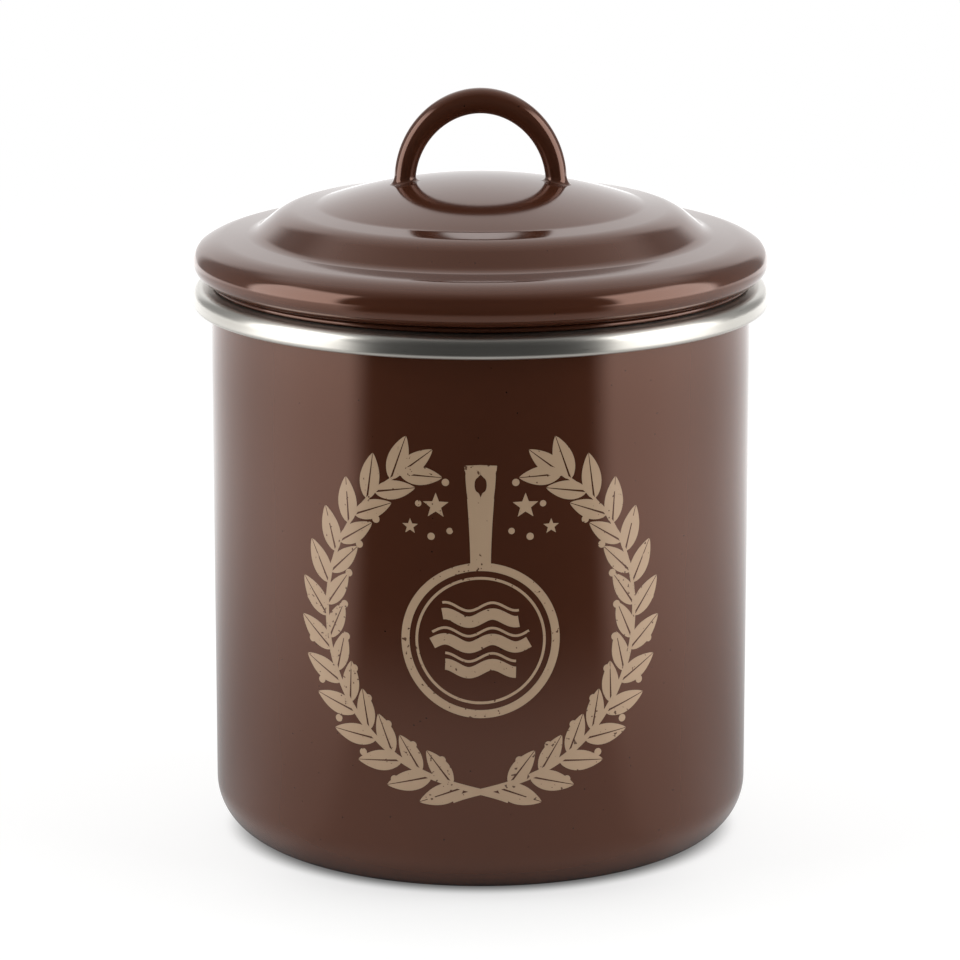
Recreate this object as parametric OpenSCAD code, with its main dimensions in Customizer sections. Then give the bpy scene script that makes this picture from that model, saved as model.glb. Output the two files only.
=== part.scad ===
// Enamelled steel grease canister with a steel rim band, a hanging strainer
// and a lift-off lid that carries a looped rod handle.
// Units are millimetres. +Z is up, the origin is the middle of the flat base,
// the printed side of the wall faces -Y and the handle runs along X.

/* [Canister] */
// Outer radius of the straight wall
body_radius = 60; // [54:0.5:66]
// Height of the turned-out mouth above the base
mouth_height = 124.3; // [112:0.5:136]
// Radius of the rounded corner between wall and base
base_corner = 12; // [9:0.5:16]
// Thickness of the enamelled sheet of canister and lid
sheet = 1; // [0.8:0.05:1.2]

/* [Rim band] */
// How far the band stands out past the wall
band_reach = 4; // [3.4:0.1:5]
// Height of the band from its lower lip to its crown
band_height = 4.9; // [4:0.1:6]
// Thickness of the stainless sheet of the band
band_sheet = 0.5; // [0.4:0.05:0.6]

/* [Lid] */
// Radius of the rolled outer edge of the lid
edge_roll = 4.1; // [3.6:0.1:4.8]
// Radius of the crest that turns the rolled edge over into the brim
crest_round = 11.6; // [10:0.2:13]
// Width of the nearly level brim inside the crest
brim_run = 5.1; // [4.1:0.1:6.1]
// Length of the straight slope that lifts the shoulder off the valley
wall_run = 4.2; // [3.2:0.1:5.2]
// Radius of the broad rounded shoulder
shoulder_round = 9.6; // [8:0.2:12]
// Width of the nearly level terrace inside the shoulder
terrace_run = 4.4; // [3.4:0.1:5.4]
// Radius of the shallow trough at the foot of the dome
trough_round = 6; // [4:0.5:8]

/* [Handle] */
// Distance between the middles of the two feet
foot_span = 33.6; // [29:0.2:38]
// Height of the rod's centre line at the top, above the dome at the feet
handle_rise = 18.2; // [15:0.2:23]
// Radius of the rod at its feet
leg_radius = 2.4; // [2:0.05:2.7]
// Radius of the rod at the middle of the loop
loop_radius = 2.85; // [2.4:0.05:3.2]

/* [Strainer] */
// Depth of the strainer cup below its flange
cup_depth = 18; // [14:0.5:24]
// Thickness of the enamelled sheet of the cup and of the lid's collar
cup_sheet = 0.5; // [0.4:0.05:0.6]
// Distance from one bar of the screen to the next
screen_pitch = 5.9; // [5.7:0.1:7]
// Width of a bar of the screen
screen_bar = 1; // [0.8:0.1:1.2]

/* [Fits] */
// Clearance all round between the canister and the strainer cup
cup_clearance = 1.2; // [0.8:0.1:1.6]
// Clearance all round between the strainer cup and the lid's collar
collar_clearance = 1; // [0.5:0.1:1.2]
// Gap left where one loose piece rests on another
rest_gap = 0.2; // [0.1:0.05:0.3]
// Gap left where two fixed pieces are joined
seam = 0.1; // [0.05:0.05:0.2]

/* [Hidden] */
$fn = 144;

enamel = [0.30, 0.19, 0.15];
steel = [0.78, 0.78, 0.76];

// The turned-out mouth and the folded band that holds it
band_gap = 0.35;
band_radius = body_radius + band_reach;
band_top = mouth_height + band_gap + band_sheet;
band_bottom = band_top - band_height;
band_crown = 2.3;
band_lip = 1.1;
mouth_fillet = 0.8;
mouth_low = mouth_height - sheet;
crown_c = [band_radius - band_crown, band_top - band_crown];
mouth_end = band_crown - band_sheet - band_gap;
inner_radius = body_radius - sheet;

// The strainer cup hangs on the crown of the band by a flange whose edge is
// folded back over itself
flange_low = band_top + rest_gap;
flange_top = flange_low + cup_sheet;
hem_low = flange_top + seam;
hem_top = hem_low + cup_sheet;
hem_width = 1.6;
flange_lap = 1.1;
flange_radius = inner_radius + flange_lap;
cup_radius = inner_radius - cup_clearance;
cup_inner = cup_radius - cup_sheet;
cup_bend = 0.6;
cup_corner = 1.1;
cup_bottom = flange_low - cup_depth;
ledge_radius = cup_inner - 3.5;
screen_low = cup_bottom + cup_sheet + seam;
screen_sheet = 0.5;
screen_radius = cup_inner - 0.4;
ring_low = screen_low + screen_sheet + seam;
ring_height = 1;

// The lid's collar drops inside the cup and is held under the lid's brim
collar_radius = cup_inner - collar_clearance;
collar_depth = 11;
collar_foot = hem_top - collar_depth;
collar_flange = 5;

// Section of the lid: arcs that touch one another, worked out from the
// rolled edge inwards. Every angle is the direction of the outward normal.
edge_angle = 59;
brim_angle = 84.5;
wall_angle = 51;
terrace_angle = 82.7;
dome_angle = 71.2;
valley_round = 5;

function along(p, a, d) = p + d * [cos(a), sin(a)];

roll_c = [band_radius - edge_roll, hem_top + rest_gap + edge_roll];
crest_c = along(roll_c, edge_angle, edge_roll - crest_round);
crest_end = along(crest_c, brim_angle, crest_round);
brim_end = along(crest_end, brim_angle + 90, brim_run);
valley_c = along(brim_end, brim_angle, valley_round);
wall_foot = along(valley_c, wall_angle + 180, valley_round);
wall_top = along(wall_foot, wall_angle + 90, wall_run);
shoulder_c = along(wall_top, wall_angle + 180, shoulder_round);
shoulder_end = along(shoulder_c, terrace_angle, shoulder_round);
terrace_end = along(shoulder_end, terrace_angle + 90, terrace_run);
trough_c = along(terrace_end, terrace_angle, trough_round);
dome_edge = along(trough_c, dome_angle + 180, trough_round);
dome_round = dome_edge[0] / cos(dome_angle);
dome_c = [0, dome_edge[1] - dome_round * sin(dome_angle)];

// Points of an arc about c from angle a to angle b, from step first to step n
function arc(c, r, a, b, n, first = 0) =
    [for (i = [first:n]) along(c, a + (b - a) * i / n, r)];

function backwards(list) = [for (i = [len(list) - 1:-1:0]) list[i]];

// One face of the lid's sheet, from the axis out to the end of the roll
function lid_face(depth) = concat(
    arc(dome_c, dome_round - depth, 90, dome_angle, 16),
    arc(trough_c, trough_round + depth, dome_angle + 180, terrace_angle + 180, 6, 1),
    arc(shoulder_c, shoulder_round - depth, terrace_angle, wall_angle, 12),
    arc(valley_c, valley_round + depth, wall_angle + 180, brim_angle + 180, 10),
    arc(crest_c, crest_round - depth, brim_angle, edge_angle, 10),
    arc(roll_c, edge_roll - depth, edge_angle, -120, 28, 1));

// Height of the dome's outer face at a distance from the axis
function dome_height(r) = dome_c[1] + sqrt(dome_round * dome_round - r * r);

module canister_shell() {
    corner_c = [body_radius - base_corner, base_corner];
    mouth_c = [body_radius + mouth_fillet, mouth_low - mouth_fillet];
    color(enamel)
    rotate_extrude()
    polygon(concat(
        [[0, 0]],
        arc(corner_c, base_corner, -90, 0, 14),
        arc(mouth_c, mouth_fillet, 180, 90, 6),
        arc(crown_c, mouth_end, asin((mouth_low - crown_c[1]) / mouth_end), 90, 8),
        arc(mouth_c, mouth_fillet + sheet, 90, 180, 8),
        arc(corner_c, base_corner - sheet, 0, -90, 14),
        [[0, sheet]]));
}

module rim_band() {
    lip_c = [band_radius - band_lip, band_bottom + band_lip];
    lip_end = body_radius + 0.3;
    color(steel)
    rotate_extrude()
    polygon(concat(
        [[lip_end, band_bottom]],
        arc(lip_c, band_lip, -90, 0, 8),
        arc(crown_c, band_crown, 0, 90, 10),
        [[inner_radius, band_top], [inner_radius, band_top - band_sheet]],
        arc(crown_c, band_crown - band_sheet, 90, 0, 10),
        arc(lip_c, band_lip - band_sheet, 0, -90, 8),
        [[lip_end, band_bottom + band_sheet]]));
}

module strainer_cup() {
    bend_c = [cup_radius + cup_bend, flange_low - cup_bend];
    corner_c = [cup_radius - cup_corner, cup_bottom + cup_corner];
    fold_c = [flange_radius - cup_sheet - seam / 2, flange_top + seam / 2];
    hem_end = flange_radius - hem_width;
    color(enamel)
    rotate_extrude()
    polygon(concat(
        [[hem_end, hem_top], [hem_end, hem_low]],
        arc(fold_c, seam / 2, 90, -90, 4),
        arc(bend_c, cup_bend + cup_sheet, 90, 180, 6),
        arc(corner_c, cup_corner - cup_sheet, 0, -90, 8),
        [[ledge_radius, cup_bottom + cup_sheet], [ledge_radius, cup_bottom]],
        arc(corner_c, cup_corner, -90, 0, 8),
        arc(bend_c, cup_bend, 180, 90, 6),
        arc(fold_c, cup_sheet + seam / 2, -90, 90, 10)));
}

// A round plate pierced by square gaps wherever a whole gap fits
module strainer_screen() {
    gap = screen_pitch - screen_bar;
    reach = ceil(screen_radius / screen_pitch);
    color(steel)
    translate([0, 0, screen_low])
    linear_extrude(screen_sheet)
    difference() {
        circle(screen_radius);
        for (i = [-reach:reach], j = [-reach:reach])
            if (norm([abs(i) * screen_pitch + gap / 2, abs(j) * screen_pitch + gap / 2])
                < screen_radius - screen_bar)
                translate([i * screen_pitch, j * screen_pitch])
                square(gap, center = true);
    }
}

module screen_ring() {
    color(steel)
    translate([0, 0, ring_low])
    linear_extrude(ring_height)
    difference() {
        circle(screen_radius);
        circle(ledge_radius + 0.5);
    }
}

module lid_shell() {
    color(enamel)
    rotate_extrude()
    polygon(concat(lid_face(0), backwards(lid_face(sheet))));
}

// Everything under the lid at a depth below its outer face
module under_lid(depth) {
    polygon(concat([[0, collar_foot]], lid_face(depth), [[band_radius, collar_foot]]));
}

// A ring that drops inside the strainer cup and centres the lid. Its inward
// flange follows the underside of the brim, where it is joined to the lid.
module lid_collar() {
    tall = collar_depth + 8 * edge_roll;
    color(enamel)
    rotate_extrude()
    intersection() {
        under_lid(sheet + seam);
        union() {
            translate([collar_radius - cup_sheet, collar_foot])
            square([cup_sheet, tall]);
            difference() {
                translate([collar_radius - collar_flange, collar_foot])
                square([collar_flange - cup_sheet / 2, tall]);
                under_lid(sheet + seam + cup_sheet);
            }
        }
    }
}

// A rod bent to an arch, a little thicker at the top, with a flared foot at
// each end that is trimmed to the dome.
foot_height = dome_height(foot_span / 2);
arch_power = 1.01;
flare_height = 1.3;
flare_reach = 0.9;
foot_depth = 1.5;
sides = 28;
foot_steps = [0.1, 0.3, 0.55, 0.85, 1.2];

// Angle round the arch at which the centre line has risen by h
function arch_angle(h) = asin(pow(h / handle_rise, 1 / arch_power));

// Centre line of the rod at angle t, 0 and 180 at the feet
function arch(t) = [
    sign(cos(t)) * pow(abs(cos(t)), arch_power) * foot_span / 2,
    pow(abs(sin(t)), arch_power) * handle_rise];

// Rod radius at angle t, with the flare that runs out close above the dome
function rod_radius(t) =
    leg_radius + (loop_radius - leg_radius) * pow(sin(t), 1.5)
    + flare_reach * pow(max(0, 1 - arch(t)[1] / flare_height), 2);

rise_angles = [for (h = foot_steps) arch_angle(h)];
arch_angles = concat(
    rise_angles,
    [for (i = [0:40]) 6 + i * 4.2],
    [for (a = backwards(rise_angles)) 180 - a]);

// One ring of the rod's skin: middle m, direction of travel a, radius r
function ring(m, a, r) = [for (k = [0:sides - 1]) let (q = 360 * k / sides) [
    m[0] - r * cos(q) * sin(a),
    r * sin(q),
    foot_height + m[1] + r * cos(q) * cos(a)]];

function travel(t) = let (d = arch(t + 0.5) - arch(t - 0.5)) atan2(d[1], d[0]);

module lid_handle() {
    buried = leg_radius + flare_reach;
    rings = concat(
        [ring([foot_span / 2, -foot_depth], 90, buried)],
        [for (t = arch_angles) ring(arch(t), travel(t), rod_radius(t))],
        [ring([-foot_span / 2, -foot_depth], 270, buried)]);
    last = len(rings) - 1;
    color(enamel)
    difference() {
        polyhedron(
            points = [for (one = rings, p = one) p],
            faces = concat(
                [[for (k = [0:sides - 1]) k]],
                [for (i = [0:last - 1], k = [0:sides - 1])
                    [i * sides + k, (i + 1) * sides + k, (i + 1) * sides + (k + 1) % sides]],
                [for (i = [0:last - 1], k = [0:sides - 1])
                    [i * sides + k, (i + 1) * sides + (k + 1) % sides, i * sides + (k + 1) % sides]],
                [[for (k = [sides - 1:-1:0]) last * sides + k]]));
        rotate_extrude()
        polygon(concat(
            arc(dome_c, dome_round, 90, dome_angle, 12),
            [[dome_edge[0], dome_edge[1] - 4], [0, dome_edge[1] - 4]]));
    }
}

canister_shell();
rim_band();
strainer_cup();
strainer_screen();
screen_ring();
lid_shell();
lid_collar();
lid_handle();
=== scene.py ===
"""Looks of the enamelled grease canister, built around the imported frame.

Every shape is worked out in millimetres as whole numpy arrays, in the axes of
the frame (+Z up, the printed side facing -Y, the handle along X), and is turned
to metres when its mesh is made.
"""
import math

import bpy
import numpy as np
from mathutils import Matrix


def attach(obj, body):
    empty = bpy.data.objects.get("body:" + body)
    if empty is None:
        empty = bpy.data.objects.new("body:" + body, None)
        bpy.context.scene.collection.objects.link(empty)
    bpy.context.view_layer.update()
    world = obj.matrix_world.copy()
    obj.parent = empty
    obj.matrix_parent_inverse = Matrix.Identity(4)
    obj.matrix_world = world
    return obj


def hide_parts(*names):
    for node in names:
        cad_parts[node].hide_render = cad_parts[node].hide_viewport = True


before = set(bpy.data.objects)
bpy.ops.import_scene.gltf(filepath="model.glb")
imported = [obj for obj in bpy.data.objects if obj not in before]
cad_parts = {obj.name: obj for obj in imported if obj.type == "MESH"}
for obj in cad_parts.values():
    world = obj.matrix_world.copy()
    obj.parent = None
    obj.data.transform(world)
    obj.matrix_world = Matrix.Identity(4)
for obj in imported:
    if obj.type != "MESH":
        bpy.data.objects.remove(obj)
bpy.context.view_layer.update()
scene = bpy.context.scene
scene.view_settings.view_transform = "Standard"
MM = 0.001
SAME_POINT = 1e-5  # points nearer than this, in millimetres, are one

# Real sizes in millimetres, the same as the solids of the frame
BODY_RADIUS = 60.0
SHEET = 1.0
BASE_CORNER = 12.0
MOUTH_HEIGHT = 124.3
BAND_RADIUS = 64.0
BAND_TOP = 125.15
BAND_BOTTOM = 120.25
BAND_CROWN = 2.3  # radius of the band's upper fold
BAND_LIP = 1.1  # radius of its lower fold
BAND_GAP = 0.3  # between the band's lower edge and the wall
MOUTH_BEND = 0.8  # inner radius where the canister's mouth turns out
MOUTH_GAP = 0.35  # between the turned-out mouth and the band round it
STRIP = 0.5  # sheet of the band, the cup and the collar
SEAM = 0.1
REST_GAP = 0.2
CUP_RADIUS = 57.8
CUP_DEPTH = 18.0
CUP_BEND = 0.6  # under the cup's flange
CUP_FOOT = 1.1  # where its wall turns in to the ledge
LEDGE_RADIUS = 53.8
FLANGE_REACH = 1.1  # how far the cup's flange lies on the band
FLANGE_RADIUS = BODY_RADIUS - SHEET + FLANGE_REACH
HEM_WIDTH = 1.6
RING_HEIGHT = 1.0
RING_CLEARANCE = 0.4  # between the ring and the cup's wall
RING_SETBACK = 0.5  # of the ring's inside from the ledge's
MESH_CLEARANCE = 0.6  # between the wire ends and the cup's wall
COLLAR_RADIUS = 56.3
COLLAR_DEPTH = 11.0
COLLAR_FLANGE = 5.0
COLLAR_BEND = 0.4
FOOT_SPAN = 33.6
HANDLE_RISE = 18.2
ARCH_POWER = 1.01
SWELL_POWER = 1.5  # of the rod, from its legs to its loop
LEG_RADIUS = 2.4
LOOP_RADIUS = 2.85
FILLET_REACH = 1.15  # how far the enamel spreads round the handle's feet
FILLET_HEIGHT = 1.5
LEAN_HEIGHT = 4.0  # the rod's rings turn level with the dome below this
FOOT_SINK = 0.25  # how deep the handle's closed ends lie in the dome

FLANGE_LOW = BAND_TOP + REST_GAP
FLANGE_TOP = FLANGE_LOW + STRIP
HEM_TOP = FLANGE_TOP + SEAM + STRIP
CUP_BOTTOM = FLANGE_LOW - CUP_DEPTH


# ---------------------------------------------------------------------------
# Sections: points (radius, height), counted in millimetres


def arc(centre, radius, start, end, steps):
    """Points on a circle about centre: it is turned evenly from one angle to the other."""
    a = np.radians(np.linspace(start, end, steps + 1))[:, None]
    return np.asarray(centre, float) + radius * np.hstack([np.cos(a), np.sin(a)])


def along(point, angle, distance):
    """The point reached from another by going a distance in the direction of an angle."""
    a = math.radians(angle)
    return np.asarray(point, float) + distance * np.array([math.cos(a), math.sin(a)])


def section(*parts, longest=2.0):
    """Joins runs of points, drops repeats, and cuts every long straight stretch
    into equal steps, so that shading stays true along flat walls."""
    p = np.vstack([np.atleast_2d(part) for part in parts])
    fresh = np.r_[True, np.linalg.norm(np.diff(p, axis=0), axis=1) > SAME_POINT]
    p = p[fresh]
    step = np.diff(p, axis=0)
    cuts = np.ceil(np.linalg.norm(step, axis=1) / longest).astype(int)
    which = np.repeat(np.arange(len(cuts)), cuts)
    share = (np.arange(cuts.sum()) - np.repeat(np.cumsum(cuts) - cuts, cuts)) / cuts[which]
    return np.vstack([p[which] + share[:, None] * step[which], p[-1:]])


# The lid's section: circles that touch one another, from the rolled edge inwards.
# Every angle is the direction in which the outer face looks, in degrees.
EDGE, BRIM, WALL, TERRACE, DOME = 59.0, 84.5, 51.0, 82.7, 71.2
ROLL_ROUND, CREST_ROUND, VALLEY_ROUND, SHOULDER_ROUND, TROUGH_ROUND = 4.1, 11.6, 5.0, 9.6, 6.0
BRIM_RUN, WALL_RUN, TERRACE_RUN = 5.1, 4.2, 4.4

roll_c = np.array([BAND_RADIUS - ROLL_ROUND, HEM_TOP + REST_GAP + ROLL_ROUND])
crest_c = along(roll_c, EDGE, ROLL_ROUND - CREST_ROUND)
brim_end = along(along(crest_c, BRIM, CREST_ROUND), BRIM + 90, BRIM_RUN)
valley_c = along(brim_end, BRIM, VALLEY_ROUND)
wall_top = along(along(valley_c, WALL + 180, VALLEY_ROUND), WALL + 90, WALL_RUN)
shoulder_c = along(wall_top, WALL + 180, SHOULDER_ROUND)
terrace_end = along(along(shoulder_c, TERRACE, SHOULDER_ROUND), TERRACE + 90, TERRACE_RUN)
trough_c = along(terrace_end, TERRACE, TROUGH_ROUND)
dome_edge = along(trough_c, DOME + 180, TROUGH_ROUND)
dome_round = dome_edge[0] / math.cos(math.radians(DOME))
dome_c = np.array([0.0, dome_edge[1] - dome_round * math.sin(math.radians(DOME))])


def lid_face(depth):
    """One face of the lid's sheet at a depth under the outer one, from the axis out
    to the end of the roll: circles that bulge lose the depth, hollow ones gain it."""
    return np.vstack([
        arc(dome_c, dome_round - depth, 90, DOME, 40),
        arc(trough_c, TROUGH_ROUND + depth, DOME + 180, TERRACE + 180, 10)[1:],
        arc(shoulder_c, SHOULDER_ROUND - depth, TERRACE, WALL, 24),
        arc(valley_c, VALLEY_ROUND + depth, WALL + 180, BRIM + 180, 18),
        arc(crest_c, CREST_ROUND - depth, BRIM, EDGE, 16),
        arc(roll_c, ROLL_ROUND - depth, EDGE, -120, 60)[1:]])


def dome_height(r):
    """Height of the dome's outer face at a distance from the axis, a circle's own height."""
    return dome_c[1] + np.sqrt(dome_round ** 2 - r ** 2)


# ---------------------------------------------------------------------------
# Meshes


def surface(name, points, wrap=False, loop=False, lengths=None, sharp=35):
    """Skin over a grid of points, rows along one parameter and columns along the other.
    A first axis in front of those two holds separate sheets of the same piece.

    wrap joins the last column to the first and loop the last row to the first. A row
    whose points all meet becomes one vertex, so a pole is closed. lengths holds the
    two parameters in millimetres, kept as the piece's UV map.
    """
    points = points.reshape(-1, *points.shape[-3:])
    sheets, rows, cols = points.shape[:3]
    index = np.arange(sheets * rows * cols).reshape(sheets, rows, cols)
    pole = np.ptp(points, axis=2).max(axis=-1) < SAME_POINT
    index[pole] = index[pole][:, :1]
    if wrap:
        index = np.concatenate([index, index[:, :, :1]], axis=2)
    if loop:
        index = np.concatenate([index, index[:, :1]], axis=1)
    r, c = np.indices((index.shape[1] - 1, index.shape[2] - 1))
    corner_r = np.stack([r, r, r + 1, r + 1], -1).reshape(-1, 4)
    corner_c = np.stack([c, c + 1, c + 1, c], -1).reshape(-1, 4)
    quads = index[:, corner_r, corner_c].reshape(-1, 4)
    kept = quads != np.roll(quads, 1, axis=1)
    whole = kept.sum(axis=1) > 2
    kept &= whole[:, None]
    used, loops = np.unique(quads[kept], return_inverse=True)
    size = kept.sum(axis=1)[whole]
    mesh = bpy.data.meshes.new(name)
    mesh.vertices.add(len(used))
    mesh.vertices.foreach_set("co", (points.reshape(-1, 3)[used] * MM).astype(np.float32).ravel())
    mesh.loops.add(len(loops))
    mesh.loops.foreach_set("vertex_index", loops.astype(np.int32).ravel())
    mesh.polygons.add(len(size))
    mesh.polygons.foreach_set("loop_start", (np.cumsum(size) - size).astype(np.int32))
    mesh.update(calc_edges=True)
    if lengths is not None:
        uv = np.stack([np.asarray(lengths[0])[corner_c], np.asarray(lengths[1])[corner_r]], -1)
        uv = np.tile(uv, (sheets, 1, 1))
        layer = mesh.uv_layers.new(name="lengths")
        layer.data.foreach_set("uv", uv[kept].astype(np.float32).ravel())
    mesh.validate()
    mesh.shade_smooth()
    mesh.set_sharp_from_angle(angle=math.radians(sharp))
    thing = bpy.data.objects.new(name, mesh)
    scene.collection.objects.link(thing)
    return thing


def turned(name, outline, loop=False, turns=256):
    """A surface of revolution: the outline's (radius, height) is carried once round the
    Z axis, x = radius cos a, y = radius sin a, in the order that faces outwards."""
    r, z = outline[:, 0], outline[:, 1]
    area = np.sum(r * np.roll(z, -1) - np.roll(r, -1) * z)
    if area < 0:
        outline = outline[::-1]
        r, z = outline[:, 0], outline[:, 1]
    a = np.linspace(0, 2 * math.pi, turns, endpoint=False)
    points = np.stack([r[:, None] * np.cos(a), r[:, None] * np.sin(a), z[:, None] + 0 * a], -1)
    if loop:
        outline = np.vstack([outline, outline[:1]])
    down = np.r_[0, np.cumsum(np.linalg.norm(np.diff(outline, axis=0), axis=1))]
    around = np.linspace(0, 2 * math.pi * r.max(), turns + 1)
    return surface(name, points, wrap=True, loop=loop, lengths=(around, down))


def place(thing, body, look, nodes=()):
    """Gives a piece its finish and its body, and hides the frame's solids that it stands for."""
    thing.data.materials.append(look)
    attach(thing, body)
    if nodes:
        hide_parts(*nodes)
    return thing


# ---------------------------------------------------------------------------
# Finishes


def colour(code):
    """A hex colour turned from sRGB to linear light."""
    s = np.array([int(code[i:i + 2], 16) for i in (1, 3, 5)]) / 255
    return (*np.where(s <= 0.04045, s / 12.92, ((s + 0.055) / 1.055) ** 2.4), 1.0)


def add(tree, kind, links=(), **settings):
    """One node: its settings, then its inputs, each a value or another node's output."""
    made = tree.nodes.new(kind)
    for key, value in settings.items():
        setattr(made, key, value)
    for key, value in dict(links).items():
        if isinstance(value, bpy.types.NodeSocket):
            tree.links.new(value, made.inputs[key])
        else:
            made.inputs[key].default_value = value
    return made


def ramp(tree, value, near, far, low, high, shape="SMOOTHSTEP"):
    """Carries a value from one range over to another and holds it at both ends."""
    return add(tree, "ShaderNodeMapRange", {
        "Value": value, "From Min": near, "From Max": far, "To Min": low, "To Max": high},
        interpolation_type=shape).outputs["Result"]


def times(tree, first, second):
    """The product of two values of the tree."""
    return add(tree, "ShaderNodeMath", {0: first, 1: second}, operation="MULTIPLY").outputs[0]


def finish(name):
    """An empty node material and its tree."""
    made = bpy.data.materials.new(name)
    made.use_nodes = True
    made.node_tree.nodes.clear()
    return made, made.node_tree


PEEL_SIZE, WAVE_SIZE, CLOUD_SIZE = 0.0015, 0.012, 0.03  # metres, as the textures count
PINHOLE_PITCH = 0.004


def mixed(tree, share, first, second):
    """A colour between two, a share of the way from the first to the second."""
    return add(tree, "ShaderNodeMix", {"Factor": share, "A": first, "B": second},
               data_type="RGBA").outputs["Result"]


def noise(tree, where, scale, detail):
    """Smooth noise from 0 to 1 with so many bumps to the unit of its coordinates."""
    return add(tree, "ShaderNodeTexNoise", {
        "Vector": where, "Scale": scale, "Detail": detail}).outputs["Fac"]


def vitreous_enamel(name, base, pooled, gloss=0.10):
    """Vitreous enamel, glass frit fired on pressed steel. The eye gets a deep brown under
    a clear hard gloss, a faint orange peel about 1.5 mm across, slow waves some 12 mm
    long in every reflection, and pinholes finer than 0.3 mm here and there."""
    made, tree = finish(name)
    where = add(tree, "ShaderNodeTexCoord").outputs["Object"]
    waves = noise(tree, where, 1 / WAVE_SIZE, 1.0)
    peel = noise(tree, where, 1 / PEEL_SIZE, 2.0)
    cloud = noise(tree, where, 1 / CLOUD_SIZE, 3.0)
    holes = add(tree, "ShaderNodeTexVoronoi", {"Vector": where, "Scale": 1 / PINHOLE_PITCH})
    pit = ramp(tree, holes.outputs["Distance"], 0.03, 0.06, 1.0, 0.0, "LINEAR")
    tone = mixed(tree, cloud, colour(base), colour(pooled))
    speck = mixed(tree, pit, tone, colour("#1C0D07"))
    rough = ramp(tree, cloud, 0.0, 1.0, gloss * 0.8, gloss * 1.25, "LINEAR")
    slow = add(tree, "ShaderNodeBump", {"Height": waves, "Distance": 0.000012, "Strength": 1.0})
    bump = add(tree, "ShaderNodeBump", {
        "Height": peel, "Distance": 0.0000009, "Strength": 1.0, "Normal": slow.outputs["Normal"]})
    glass = add(tree, "ShaderNodeBsdfPrincipled", {
        "Base Color": speck, "Roughness": rough,
        "Normal": bump.outputs["Normal"], "IOR": 1.75, "Specular Tint": (1.0, 0.62, 0.50, 1.0)})
    add(tree, "ShaderNodeOutputMaterial", {"Surface": glass.outputs["BSDF"]})
    return made


def satin_steel(name, tint, gloss, line=0.35):
    """Stainless steel strip polished round the rim with a fine belt. The eye gets soft
    bright reflections, drawn out across hair lines about as fine as line (mm), which
    run the way the strip was rolled, and slow clouds from polish to polish."""
    made, tree = finish(name)
    uv = add(tree, "ShaderNodeUVMap", uv_map="lengths").outputs["UV"]
    tangent = add(tree, "ShaderNodeTangent", direction_type="UV_MAP", uv_map="lengths")
    drawn = add(tree, "ShaderNodeMapping", {"Vector": uv, "Scale": (0.05, 1 / line, 1.0)})
    hair = noise(tree, drawn.outputs["Vector"], 2.0, 3.0)
    broad = add(tree, "ShaderNodeMapping", {"Vector": uv, "Scale": (0.02, 0.5, 1.0)})
    cloud = noise(tree, broad.outputs["Vector"], 1.0, 2.0)
    shade = mixed(tree, cloud, colour(tint), colour("#B9B6AF"))
    rough = ramp(tree, hair, 0.0, 1.0, gloss * 0.8, gloss * 1.3, "LINEAR")
    bump = add(tree, "ShaderNodeBump", {"Height": hair, "Distance": 0.000004, "Strength": 1.0})
    steel = add(tree, "ShaderNodeBsdfPrincipled", {
        "Base Color": shade, "Metallic": 1.0, "Roughness": rough,
        "Anisotropic": 0.6, "Anisotropic Rotation": 0.25,
        "Tangent": tangent.outputs["Tangent"], "Normal": bump.outputs["Normal"]})
    add(tree, "ShaderNodeOutputMaterial", {"Surface": steel.outputs["BSDF"]})
    return made


def ceramic_decal(name, ink, worn):
    """Ceramic decal fired into the glaze: a flat tan ink under the same gloss as the
    enamel, clouded over 20 mm, with worn specks 0.2 to 0.5 mm across that let the
    brown through, as on a print meant to look old."""
    made, tree = finish(name)
    where = add(tree, "ShaderNodeTexCoord").outputs["Object"]
    cloud = noise(tree, where, 1 / 0.02, 2.0)
    grit = noise(tree, where, 1 / 0.0009, 1.0)
    patch = noise(tree, where, 1 / 0.009, 1.0)
    chance = add(tree, "ShaderNodeMath", {0: patch, 1: 0.30, 2: grit}, operation="MULTIPLY_ADD")
    speck = ramp(tree, chance.outputs[0], 0.86, 0.90, 0.0, 0.9, "LINEAR")
    tone = mixed(tree, cloud, colour(ink), colour("#B2977B"))
    glass = add(tree, "ShaderNodeBsdfPrincipled", {
        "Base Color": mixed(tree, speck, tone, colour(worn)), "Roughness": 0.16, "IOR": 1.75,
        "Specular Tint": (1.0, 0.80, 0.70, 1.0)})
    add(tree, "ShaderNodeOutputMaterial", {"Surface": glass.outputs["BSDF"]})
    return made


brown_enamel = vitreous_enamel("vitreous_enamel_brown", "#47271A", "#422316")
band_steel = satin_steel("satin_stainless_band", "#D2CFC8", 0.29)
decal_tan = ceramic_decal("ceramic_decal_tan", "#B99F84", "#4A2A1B")
screen_steel = satin_steel("drawn_stainless_screen", "#C8C6C0", 0.28, line=0.6)

# ---------------------------------------------------------------------------
# Canister, band, strainer, lid

mouth_low = MOUTH_HEIGHT - SHEET
crown_c = (BAND_RADIUS - BAND_CROWN, BAND_TOP - BAND_CROWN)
mouth_end = BAND_CROWN - STRIP - MOUTH_GAP
corner_c = (BODY_RADIUS - BASE_CORNER, BASE_CORNER)
mouth_c = (BODY_RADIUS + MOUTH_BEND, mouth_low - MOUTH_BEND)
mouth_tip = math.degrees(math.asin((mouth_low - crown_c[1]) / mouth_end))
canister = turned("canister_enamel", section(
    (0, 0), arc(corner_c, BASE_CORNER, -90, 0, 40), arc(mouth_c, MOUTH_BEND, 180, 90, 10),
    arc(crown_c, mouth_end, mouth_tip, 90, 10), arc(mouth_c, MOUTH_BEND + SHEET, 90, 180, 12),
    arc(corner_c, BASE_CORNER - SHEET, 0, -90, 30), (0, SHEET)))
place(canister, "canister", brown_enamel, ["canister_shell"])

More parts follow.
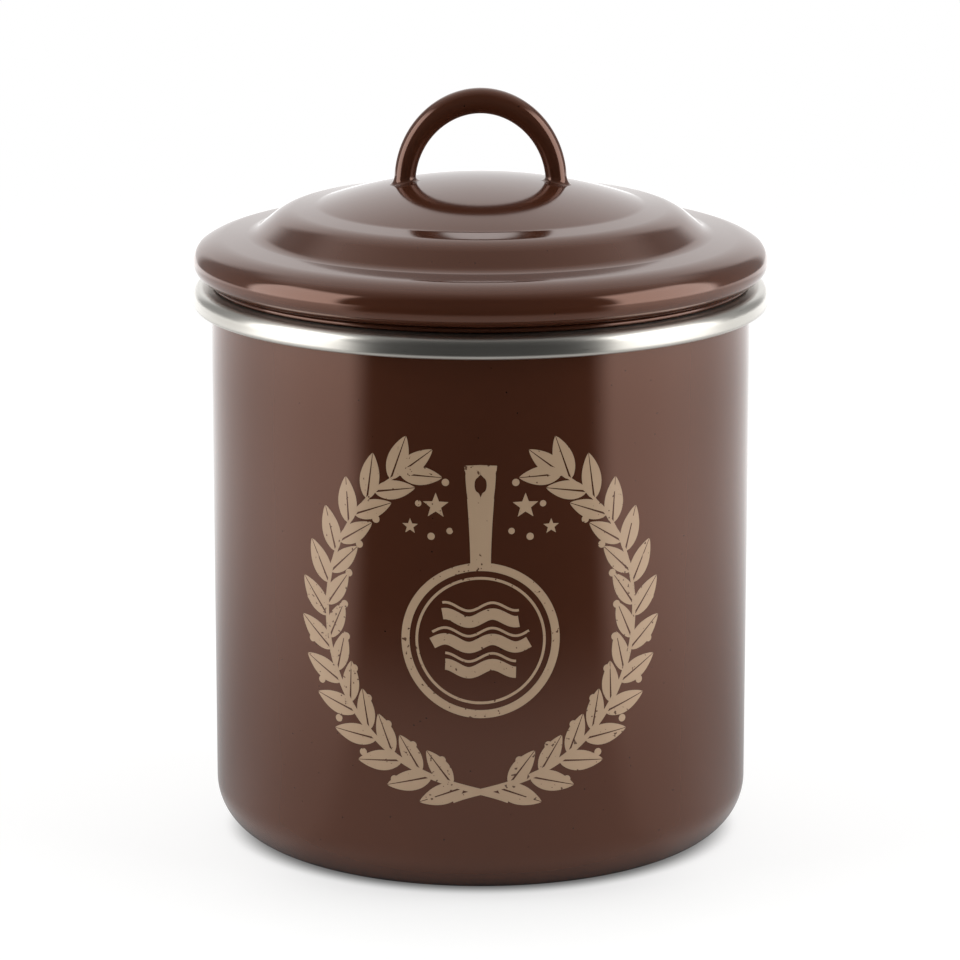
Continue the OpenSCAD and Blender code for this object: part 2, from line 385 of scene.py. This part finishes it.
lip_c = (BAND_RADIUS - BAND_LIP, BAND_BOTTOM + BAND_LIP)
lip_end = BODY_RADIUS + BAND_GAP
band = turned("rim_band_steel", section(
    (lip_end, BAND_BOTTOM), arc(lip_c, BAND_LIP, -90, 0, 14), arc(crown_c, BAND_CROWN, 0, 90, 24),
    (BODY_RADIUS - SHEET, BAND_TOP), (BODY_RADIUS - SHEET, BAND_TOP - STRIP),
    arc(crown_c, BAND_CROWN - STRIP, 90, 0, 16), arc(lip_c, BAND_LIP - STRIP, 0, -90, 8),
    (lip_end, BAND_BOTTOM + STRIP), (lip_end, BAND_BOTTOM), longest=0.6)[:-1], loop=True)
place(band, "canister", band_steel, ["rim_band"])

bend_c = (CUP_RADIUS + CUP_BEND, FLANGE_LOW - CUP_BEND)
foot_c = (CUP_RADIUS - CUP_FOOT, CUP_BOTTOM + CUP_FOOT)
fold_c = (FLANGE_RADIUS - STRIP - SEAM / 2, FLANGE_TOP + SEAM / 2)
hem_end = FLANGE_RADIUS - HEM_WIDTH
cup = turned("strainer_cup_enamel", section(
    (hem_end, HEM_TOP), (hem_end, FLANGE_TOP + SEAM), arc(fold_c, SEAM / 2, 90, -90, 6),
    arc(bend_c, CUP_BEND + STRIP, 90, 180, 10), arc(foot_c, CUP_FOOT - STRIP, 0, -90, 10),
    (LEDGE_RADIUS, CUP_BOTTOM + STRIP), (LEDGE_RADIUS, CUP_BOTTOM),
    arc(foot_c, CUP_FOOT, -90, 0, 12), arc(bend_c, CUP_BEND, 180, 90, 8),
    arc(fold_c, STRIP + SEAM / 2, -90, 90, 14), (hem_end, HEM_TOP))[:-1], loop=True)
place(cup, "strainer", brown_enamel, ["strainer_cup"])

# A flat ring: its upper edges are rounded, its lower outer edge is broken
ring_low = CUP_BOTTOM + 2 * STRIP + 2 * SEAM
ring_out, ring_in = CUP_RADIUS - STRIP - RING_CLEARANCE, LEDGE_RADIUS + RING_SETBACK
edge_round, edge_break = 0.2, 0.1
edge_z = ring_low + RING_HEIGHT - edge_round
ring = turned("screen_ring_steel", section(
    (ring_out, ring_low + edge_break), (ring_out, edge_z),
    arc((ring_out - edge_round, edge_z), edge_round, 0, 90, 4),
    arc((ring_in + edge_round, edge_z), edge_round, 90, 180, 4),
    (ring_in, ring_low), (ring_out - edge_break, ring_low),
    (ring_out, ring_low + edge_break))[:-1], loop=True)
place(ring, "strainer", screen_steel, ["screen_ring"])

lid = turned("lid_enamel", section(lid_face(0), lid_face(SHEET)[::-1]))
place(lid, "lid", brown_enamel, ["lid_shell"])


def collar_outline():
    """The lid's collar: a straight ring whose top turns inwards under the brim, its
    flange lying a seam's width under the lid and one strip thick."""
    foot = HEM_TOP - COLLAR_DEPTH
    inside_roll = slice(None, -40)  # leaves out the roll's end, which turns back inwards
    flange_end = COLLAR_RADIUS - STRIP - 0.3  # where the bend takes over below
    upper = lid_face(SHEET + SEAM)[inside_roll]
    lower = lid_face(SHEET + SEAM + STRIP)[inside_roll]
    r = np.linspace(COLLAR_RADIUS - COLLAR_FLANGE, COLLAR_RADIUS, 24)
    over = np.stack([r, np.interp(r, upper[:, 0], upper[:, 1])], -1)
    inner = r[r < flange_end]
    under = np.stack([inner, np.interp(inner, lower[:, 0], lower[:, 1])], -1)
    bend = COLLAR_RADIUS - STRIP - COLLAR_BEND
    centre = (bend, np.interp(bend, lower[:, 0], lower[:, 1]) - COLLAR_BEND)
    return section((COLLAR_RADIUS, foot), over[::-1], under, arc(centre, COLLAR_BEND, 80, 0, 6),
                   (COLLAR_RADIUS - STRIP, foot), (COLLAR_RADIUS, foot))[:-1]


collar = turned("lid_collar_enamel", collar_outline(), loop=True)
place(collar, "lid", brown_enamel, ["lid_collar"])


def handle_skin(steps=120, sides=48):
    """A round rod carried along an arch.

    The arch is very nearly half an ellipse: its x is cos t and its height sin t, both
    raised to ARCH_POWER. The rod thickens towards the top with sin t raised to
    SWELL_POWER. Near each foot the enamel runs out on the dome in a quarter-round
    fillet, where the rings stand closer, and they lean until the last one lies on
    the dome.
    """
    close_up = 1.6  # millimetres of the rod at each foot that have the closer rings
    spare = 0.1  # between them and the even rings
    t = np.linspace(0, math.pi, 4001)[1:-1]
    x = np.sign(np.cos(t)) * np.abs(np.cos(t)) ** ARCH_POWER * FOOT_SPAN / 2
    h = np.sin(t) ** ARCH_POWER * HANDLE_RISE
    s = np.r_[0, np.cumsum(np.hypot(np.diff(x), np.diff(h)))]
    even = np.linspace(0, 1, steps) * s[-1]
    near = close_up * np.linspace(0, 1, 14) ** 1.6
    between = even[(even > close_up + spare) & (even < s[-1] - close_up - spare)]
    stops = np.unique(np.round(np.r_[between, near, s[-1] - near], 6))
    x, h, t = np.interp(stops, s, x), np.interp(stops, s, h), np.interp(stops, s, t)
    tilt = np.arctan2(np.gradient(h, stops), np.gradient(x, stops))
    down = np.clip(1 - h / FILLET_HEIGHT, 0, 1)
    fillet = FILLET_REACH * (1 - np.sqrt(np.clip(1 - down ** 2, 0, 1)))
    radius = LEG_RADIUS + (LOOP_RADIUS - LEG_RADIUS) * np.sin(t) ** SWELL_POWER + fillet
    q = np.linspace(0, 2 * math.pi, sides, endpoint=False)
    px = x[:, None] - radius[:, None] * np.cos(q) * np.sin(tilt)[:, None]
    py = radius[:, None] * np.sin(q) + 0 * px
    lean = np.clip(1 - h / LEAN_HEIGHT, 0, 1)[:, None] ** 2
    flat = h[:, None] + radius[:, None] * np.cos(q) * np.cos(tilt)[:, None]
    seat = dome_height(np.hypot(px, py))
    pz = flat + (1 - lean) * dome_height(FOOT_SPAN / 2) + lean * seat
    skin = np.stack([px, py, pz], -1)
    below = skin[[0, -1]] - np.array([0, 0, FOOT_SINK])
    heart = below.mean(axis=1, keepdims=True) + 0 * below
    return np.concatenate([heart[:1], below[:1], skin, below[1:], heart[1:]])


handle = surface("lid_handle_enamel", handle_skin(), wrap=True, sharp=80)
place(handle, "lid", brown_enamel, ["lid_handle"])


def woven_wires(pitch=2.4, thick=0.36, steps=190, sides=6):
    """Round wires of a plain weave, one layer of them, side by side along X.

    Each wire runs straight across the disc and waves over and under the crossing
    wires: its height is its radius times cos of half a turn per pitch, and each next
    wire starts half a wave later. The rings of the skin stand square to the run.
    """
    reach = CUP_RADIUS - STRIP - MESH_CLEARANCE
    shortest = 0.3  # of a pitch, left free beyond the outermost wires
    count = int(reach / pitch - shortest)
    place_x = (np.arange(-count, count + 1) * pitch)[:, None, None]
    half = np.sqrt(reach ** 2 - place_x ** 2)
    run = np.linspace(-1, 1, steps)[None, :, None] * half
    turn = np.linspace(0, 2 * math.pi, sides, endpoint=False)[None, None, :]
    ends = np.ones(steps)
    ends[[0, -1]] = 0
    girth = ends[None, :, None] * thick / 2
    odd = np.where(np.round(place_x / pitch) % 2, -1, 1)
    wave = odd * np.cos(math.pi * run / pitch) * thick / 2
    x = place_x + girth * np.cos(turn)
    return np.stack([x, run + 0 * x, wave + girth * np.sin(turn)], -1)


screen_middle = np.array([0, 0, (CUP_BOTTOM + STRIP + ring_low) / 2])
warp = woven_wires()
weft = np.stack([warp[..., 1], -warp[..., 0], -warp[..., 2]], -1)
for name, wires, nodes in (("screen_warp_wires", warp, ["strainer_screen"]),
                           ("screen_weft_wires", weft, ())):
    wires = surface(name, wires + screen_middle, wrap=True, sharp=80)
    place(wires, "strainer", screen_steel, nodes)

# ---------------------------------------------------------------------------
# The print on the wall: every motif is drawn flat, in millimetres along the wall
# and up from the emblem's middle, as a grid of points, and then bent round it

PRINT_MIDDLE = 62.8
PRINT_FILM = 0.03


def printed(name, flat):
    """Lays flat motifs (sheets, rows, columns, 2) on the wall, just proud of it."""
    bend = flat[..., 0] / BODY_RADIUS
    skin = BODY_RADIUS + PRINT_FILM
    points = np.stack([skin * np.sin(bend), -skin * np.cos(bend), PRINT_MIDDLE + flat[..., 1]], -1)
    return place(surface(name, points), "canister", decal_tan)


def mirrored(flat):
    """The motifs and their mirror images across the emblem's upright middle line."""
    other = flat[..., ::-1, :] * np.array([-1.0, 1.0])
    return np.concatenate([flat, other])


def ribbon(path, width, rows=3):
    """A band along a path of points whose width may change on the way."""
    way = np.gradient(path, axis=-2)
    way /= np.linalg.norm(way, axis=-1, keepdims=True)
    side = np.stack([way[..., 1], -way[..., 0]], -1)
    across = np.linspace(0.5, -0.5, rows)[:, None, None]
    return path[..., None, :, :] + across * side[..., None, :, :] * np.asarray(width)[..., None]


def ring_of(middle, inner, outer, steps=120):
    """A flat ring or, with inner 0, a disc."""
    a = np.linspace(0, 2 * math.pi, steps + 1)
    r = np.array([outer, inner])[:, None]
    return np.stack([middle[0] + r * np.cos(a), middle[1] + r * np.sin(a)], -1)[None]


def leaves(feet, headings, length, width, vein=0.45, steps=18):
    """Almond leaves, each of two halves either side of a bare vein. The edge swells as
    the sine of the way along to the power 0.8, fullest a little before the middle."""
    t = np.linspace(0, 1, steps)
    full = np.sin(math.pi * t ** 0.85) ** 0.8 * (width - vein) / 2
    gap = vein / 2 * (1 - 0.7 * t)
    halves = []
    for sign in (1, -1):
        edge = np.stack([gap, gap + full]) * sign
        if sign > 0:
            edge = edge[::-1]
        halves.append(np.stack([np.broadcast_to(t * length, edge.shape), edge], -1))
    halves = np.stack(halves)
    c, s = np.cos(headings)[:, None, None, None], np.sin(headings)[:, None, None, None]
    x, y = halves[None, ..., 0], halves[None, ..., 1]
    laid = np.stack([x * c - y * s, x * s + y * c], -1) + feet[:, None, None, None, :]
    return laid.reshape(-1, *halves.shape[1:])


def star(middle, size, points=5, notch=0.42):
    """A star: its rim runs straight from each tip to a notch, nearer the middle by that
    share, and on to the next tip."""
    corner = np.arange(2 * points + 1)
    a = math.pi / 2 - corner * math.pi / points
    r = np.where(corner % 2, notch, 1.0) * size
    rim = np.stack([middle[0] + r * np.cos(a), middle[1] + r * np.sin(a)], -1)
    return np.stack([np.broadcast_to(middle, rim.shape), rim])[None]


WREATH_WIDE, WREATH_HIGH, CUT_DROP = 35.0, 36.5, 4.2  # half width, half height, cut end
BRANCH_FOOT, BRANCH_TIP = 1.4, 0.55  # widths
OUTER_LEAF, INNER_LEAF, TIP_LEAF = (10.2, 4.7), (9.2, 4.3), (9.5, 4.2)  # length, width
OUTER_LEAN, INNER_LEAN, TIP_LEAN = -0.62, 0.66, -0.05  # radians off the branch's way
BERRY_RADIUS, BERRY_OUT, BERRY_IN = 0.85, 4.6, -4.4  # radius, places beside the branch


def branch(t):
    """Line of the right branch: from the foot of the wreath round to its top, an
    ellipse whose angle runs with t from past the bottom to near the top. Its cut end
    drops away below, so the two branches cross."""
    a = np.radians(-100 + 161 * t)
    return np.stack([
        WREATH_WIDE * np.cos(a), WREATH_HIGH * np.sin(a) - CUT_DROP * (1 - t) ** 14], -1)


# The wreath: two branches with leaves and berries on both sides
along_branch = np.linspace(0, 1, 90)
branch_width = BRANCH_FOOT - (BRANCH_FOOT - BRANCH_TIP) * along_branch
printed("print_branches", mirrored(ribbon(branch(along_branch)[None], branch_width)))
foot_t = np.linspace(0.10, 0.97, 13)
heading = np.arctan2(*(branch(foot_t + 0.01) - branch(foot_t - 0.01)).T[::-1])
outer_leaves = leaves(branch(foot_t), heading + OUTER_LEAN, *OUTER_LEAF)
inner_leaves = leaves(branch(foot_t + 0.025), heading + INNER_LEAN, *INNER_LEAF)
tip = leaves(branch(np.array([0.99])), heading[-1:] + TIP_LEAN, *TIP_LEAF)
printed("print_leaves", mirrored(np.concatenate([outer_leaves, inner_leaves, tip])))
berry_t = np.linspace(0.16, 0.88, 10)
outwards = branch(berry_t) / np.linalg.norm(branch(berry_t), axis=-1, keepdims=True)
for name, gap in (("outer", BERRY_OUT), ("inner", BERRY_IN)):
    berries = [ring_of(m, 0, BERRY_RADIUS, 20) for m in branch(berry_t) + gap * outwards]
    printed(f"print_berries_{name}", mirrored(np.concatenate(berries)))

# A round pan seen from above, its grip upwards, in two halves round a hanging hole
PAN_Y, PAN_RADIUS, PAN_WALL = -4.5, 17.2, 15.4  # middle, outside, inside of its rim
LINE_IN, LINE_OUT = 13.5, 14.1
GRIP_NECK, GRIP_SPREAD, GRIP_LENGTH, GRIP_OVERLAP = 4.4, 2.6, 21.5, 0.2
HOLE_AT, HOLE_REACH, HOLE_WIDTH = 0.80, 0.11, 2.6  # the first two as shares of the grip
printed("print_pan_rim", ring_of((0.0, PAN_Y), PAN_WALL, PAN_RADIUS))
printed("print_pan_line", ring_of((0.0, PAN_Y), LINE_IN, LINE_OUT))
grip = np.linspace(0, 1, 40)
grip_width = GRIP_NECK + GRIP_SPREAD * grip ** 1.6
hole = np.clip(1 - ((grip - HOLE_AT) / HOLE_REACH) ** 2, 0, 1) ** 0.5 * HOLE_WIDTH
grip_y = PAN_Y + PAN_RADIUS - GRIP_OVERLAP + GRIP_LENGTH * grip
grip_side = np.stack([(grip_width + hole) / 4, grip_y], -1)
printed("print_pan_grip", mirrored(ribbon(grip_side[None], (grip_width - hole) / 2)))

# Three wavy bars lie in it, each with a thin line above: heights and half lengths
BARS = ((-6.2, 7.6), (-0.6, 10.4), (5.0, 8.2))
BAR_WIDTH, LINE_WIDTH, LINE_LIFT = 2.5, 0.55, 2.5
BAR_RISE, BAR_TURN = 0.9, 0.62  # of its wave: height, and radians a millimetre
even = np.linspace(-1, 1, 90)
bars = np.stack([
    np.stack([half * even, PAN_Y + y + BAR_RISE * np.sin(half * even * BAR_TURN)], -1)
    for y, half in BARS])
printed("print_wavy_bars", ribbon(bars, BAR_WIDTH))
printed("print_wavy_lines", ribbon(bars + np.array([0, LINE_LIFT]), LINE_WIDTH))

# Stars and dots fill the room beside the grip
printed("print_stars", mirrored(np.concatenate([star((9.6, 25.0), 2.9), star((15.2, 20.3), 1.8)])))
dots = ((6.6, 19.6, 0.7), (10.6, 18.3, 0.8), (7.5, 30.2, 0.8), (13.4, 25.4, 0.7))
printed("print_dots", mirrored(np.concatenate([ring_of((x, y), 0, r, 20) for x, y, r in dots])))

# ---------------------------------------------------------------------------
# Camera, floor and studio

# A long lens a metre away, tilted 13 degrees down
camera = bpy.data.objects.new("camera", bpy.data.cameras.new("camera"))
scene.collection.objects.link(camera)
camera.location = (-0.00013, -1.0444, 0.3227)
camera.rotation_euler = (math.radians(76.9), 0, 0)
camera.data.lens = 178.5
camera.data.sensor_width = 36.0
scene.camera = camera

# White air all round, which lights matte surfaces a little less than it shows
world = bpy.data.worlds.new("white_room")
scene.world = world
world.use_nodes = True
world.node_tree.nodes.clear()
air = world.node_tree
ray = add(air, "ShaderNodeLightPath").outputs
seen = add(air, "ShaderNodeMath", {0: ray["Is Camera Ray"], 1: ray["Is Glossy Ray"]},
           operation="ADD")
seen = add(air, "ShaderNodeMath", {0: seen.outputs[0], 1: ray["Is Transmission Ray"]},
           operation="ADD", use_clamp=True)
level = ramp(air, seen.outputs[0], 0.0, 1.0, 0.75, 1.0, "LINEAR")
sky = add(air, "ShaderNodeBackground", {"Color": colour("#FFFFFF"), "Strength": level})
add(air, "ShaderNodeOutputWorld", {"Surface": sky.outputs["Background"]})


def directions(tree):
    """The place's direction from the canister, as it lies on the floor and in space:
    how far right (X), behind (Y) and high (Z), each from -1 to 1. Last comes the
    place's level distance from the axis, in metres."""
    where = add(tree, "ShaderNodeTexCoord").outputs["Object"]
    flat = add(tree, "ShaderNodeVectorMath", {0: where, 1: (1.0, 1.0, 0.0)}, operation="MULTIPLY")
    far = add(tree, "ShaderNodeVectorMath", {0: flat.outputs[0]}, operation="LENGTH")
    level = add(tree, "ShaderNodeVectorMath", {0: flat.outputs[0]}, operation="NORMALIZE")
    solid = add(tree, "ShaderNodeVectorMath", {0: where}, operation="NORMALIZE")
    return (add(tree, "ShaderNodeSeparateXYZ", {0: level.outputs[0]}).outputs,
            add(tree, "ShaderNodeSeparateXYZ", {0: solid.outputs[0]}).outputs, far.outputs["Value"])


def reflected_floor_painted_light(tree, around, far):
    """The floor that reflections find: a glow of painted light and shade, not a lit surface.
    Painted lamp light makes it brightest beside the canister and far off, plain behind it;
    painted shade dims it close to its foot and darkens a wedge in front.
    Distances are metres from the axis."""
    # painted lamp light: brighter beside the canister than behind it, a little brighter far behind
    lamps = ramp(tree, around["Y"], -0.15, 0.40, 1.38, 1.07)
    lamps = times(tree, lamps, ramp(tree, around["Y"], 0.60, 0.90, 1.0, 1.12))
    # painted shade close to the canister's foot, where the floor lies in its shadow
    under = ramp(tree, far, 0.050, 0.066, 0.03, 1.0)
    close = times(tree, ramp(tree, far, 0.06, 0.42, 0.50, 1.0), under)
    # painted light: the floor far off glows brighter
    beyond = ramp(tree, far, 0.50, 0.80, 1.0, 1.5)
    open_floor = times(tree, times(tree, lamps, close), beyond)
    # painted dark floor in the front wedge, with the same painted shade at the foot
    painted_wedge_shade = times(tree, ramp(tree, far, 0.17, 0.30, 0.55, 0.03), under)
    wedge = ramp(tree, around["Y"], -0.73, -0.555, 1.0, 0.0)
    glow = add(tree, "ShaderNodeMix", {"Factor": wedge, "A": open_floor, "B": painted_wedge_shade})
    return add(tree, "ShaderNodeEmission", {"Strength": glow.outputs["Result"]})


def seen_floor(tree, around, far):
    """The floor that the camera sees: nearly white with the canister's soft shadow, a painted
    contact shadow as a dark line under the edge where it stands, narrower at the sides,
    painted shade a little wider in front, and pure white from a metre away."""
    shadow = add(tree, "ShaderNodeBsdfDiffuse", {"Color": colour("#989897")})
    narrow = ramp(tree, times(tree, around["X"], around["X"]), 0.0, 1.0, 1.0, 0.94, "LINEAR")
    # painted contact shadow: the floor's white lift dims under the canister's edge, less at the
    # sides
    painted_contact_shadow = ramp(tree, times(tree, far, narrow), 0.0485, 0.0555, 0.15, 0.76)
    # painted shade in front of the canister, gone by 95 mm from its axis
    painted_front_shadow = ramp(tree, around["Y"], -0.95, -0.55, 0.90, 1.0)
    painted_front_shadow = ramp(tree, far, 0.060, 0.095, painted_front_shadow, 1.0, "LINEAR")
    # the white lift, carrying the painted contact shadow and the painted front shade
    white = add(tree, "ShaderNodeEmission", {"Strength": times(tree, painted_contact_shadow, painted_front_shadow)})
    near = add(tree, "ShaderNodeAddShader", {0: shadow.outputs[0], 1: white.outputs[0]})
    plain = add(tree, "ShaderNodeEmission", {"Strength": 1.0})
    return add(tree, "ShaderNodeMixShader", {
        0: ramp(tree, far, 0.30, 1.00, 0.0, 1.0), 1: near.outputs[0], 2: plain.outputs[0]})


def seamless_floor():
    """White paper sweep under bright lamps, which gives the eye a clean white ground. It
    lights the canister from below, and shows itself to camera and reflections apart: the
    camera sees it with a painted contact shadow, reflections see a glow of painted light
    and shade."""
    made, tree = finish("white_paper_floor")
    ray = add(tree, "ShaderNodeLightPath").outputs
    around, _, far = directions(tree)
    paper = add(tree, "ShaderNodeBsdfDiffuse", {"Color": colour("#F2F1EF")})
    seen_one = seen_floor(tree, around, far).outputs[0]
    mirrored_one = reflected_floor_painted_light(tree, around, far).outputs[0]
    shown = add(tree, "ShaderNodeMixShader", {
        0: ray["Is Camera Ray"], 1: paper.outputs[0], 2: seen_one})
    ground = add(tree, "ShaderNodeMixShader", {
        0: ray["Is Glossy Ray"], 1: shown.outputs[0], 2: mirrored_one})
    add(tree, "ShaderNodeOutputMaterial", {"Surface": ground.outputs[0]})
    return made


def studio_room():
    """Walls and ceiling that the camera never sees: dark round it, paler overhead,
    white behind the canister."""
    made, tree = finish("studio_room")
    _, towards, _ = directions(tree)
    glow = ramp(tree, towards["Y"], -0.56, 0.85, 0.07, 1.2, "LINEAR")
    walls = add(tree, "ShaderNodeEmission", {"Strength": glow})
    add(tree, "ShaderNodeOutputMaterial", {"Surface": walls.outputs[0]})
    return made


def panel_cloth(name, level, lamp, edge):
    """Cloth of a studio panel, so bright in reflections and as a lamp (0 for none). It
    thins out to nothing towards its sides over the given shares of its width and height."""
    made, tree = finish(name)
    lengths = add(tree, "ShaderNodeUVMap", uv_map="lengths").outputs["UV"]
    uv = add(tree, "ShaderNodeSeparateXYZ", {0: lengths}).outputs
    cover = 1.0
    for axis, (near, far) in zip("XY", edge):
        up = ramp(tree, uv[axis], 0.0, near, 0.0, 1.0)
        down = ramp(tree, uv[axis], 1.0, 1.0 - far, 0.0, 1.0)
        cover = times(tree, times(tree, up, down), cover)
    glossy = add(tree, "ShaderNodeLightPath").outputs["Is Glossy Ray"]
    clear = add(tree, "ShaderNodeBsdfTransparent")
    cloth = add(tree, "ShaderNodeEmission", {
        "Strength": ramp(tree, glossy, 0.0, 1.0, lamp, level, "LINEAR")})
    panel = add(tree, "ShaderNodeMixShader", {0: cover, 1: clear.outputs[0], 2: cloth.outputs[0]})
    add(tree, "ShaderNodeOutputMaterial", {"Surface": panel.outputs[0]})
    return made


def studio_piece(name, points, cloth, lights=False):
    """A panel or wall of the studio, in millimetres. The camera never sees it."""
    rows, cols = points.shape[:2]
    piece = surface(name, points, lengths=(np.linspace(0, 1, cols), np.linspace(0, 1, rows)))
    piece.data.materials.append(cloth)
    piece.visible_camera = False
    piece.visible_diffuse = lights
    piece.visible_shadow = False


def globe(azimuths, heights, distance, steps=49):
    """Part of a sphere round the canister: azimuth from the camera's side, elevation."""
    az = np.radians(np.linspace(*azimuths, steps))
    el = np.radians(np.linspace(*heights, steps))[:, None]
    return distance * np.stack([
        np.sin(az) * np.cos(el), -np.cos(az) * np.cos(el), np.sin(el) + 0 * az], -1)


def standing(azimuth, distance, width, height, steps=9):
    """An upright rectangle that faces the canister, its foot on the floor."""
    a = math.radians(azimuth)
    half = width / 2
    u, h = np.meshgrid(np.linspace(-half, half, steps), np.linspace(0, height, steps))
    return np.stack([distance * math.sin(a) + u * math.cos(a),
                     -distance * math.cos(a) + u * math.sin(a), h], -1)


FLOOR_REACH, FLOOR_DROP = 6000, 0.3  # the drop keeps the floor clear of the base
across = np.linspace(-FLOOR_REACH, FLOOR_REACH, 25)
floor_grid = np.broadcast_arrays(*np.meshgrid(across, across), -FLOOR_DROP)
floor = surface("floor", np.stack(floor_grid, -1))
floor.data.materials.append(seamless_floor())

ROOM_RADIUS, FLAG_DISTANCE, BOX_DISTANCE, BOX_HEIGHT = 3000, 1500, 680, 900
studio_piece("room", globe((-180, 180), (0, 90), ROOM_RADIUS), studio_room(), lights=True)
grey_flag = panel_cloth("grey_flag", 0.38, 0.0, ((0.2, 0.1), (0.02, 0.25)))
studio_piece("grey_flag_left", globe((-156, -98), (0, 52), FLAG_DISTANCE), grey_flag)
studio_piece("grey_flag_right", globe((156, 104), (0, 52), FLAG_DISTANCE), grey_flag)
softbox = panel_cloth("softbox", 3.5, 3.5, ((0.12, 0.12), (0.06, 0.30)))
for side, azimuth, width in (("left", -77.5, 620), ("right", 77.5, 700)):
    studio_piece(f"softbox_{side}", standing(azimuth, BOX_DISTANCE, width, BOX_HEIGHT),
                 softbox, lights=True)
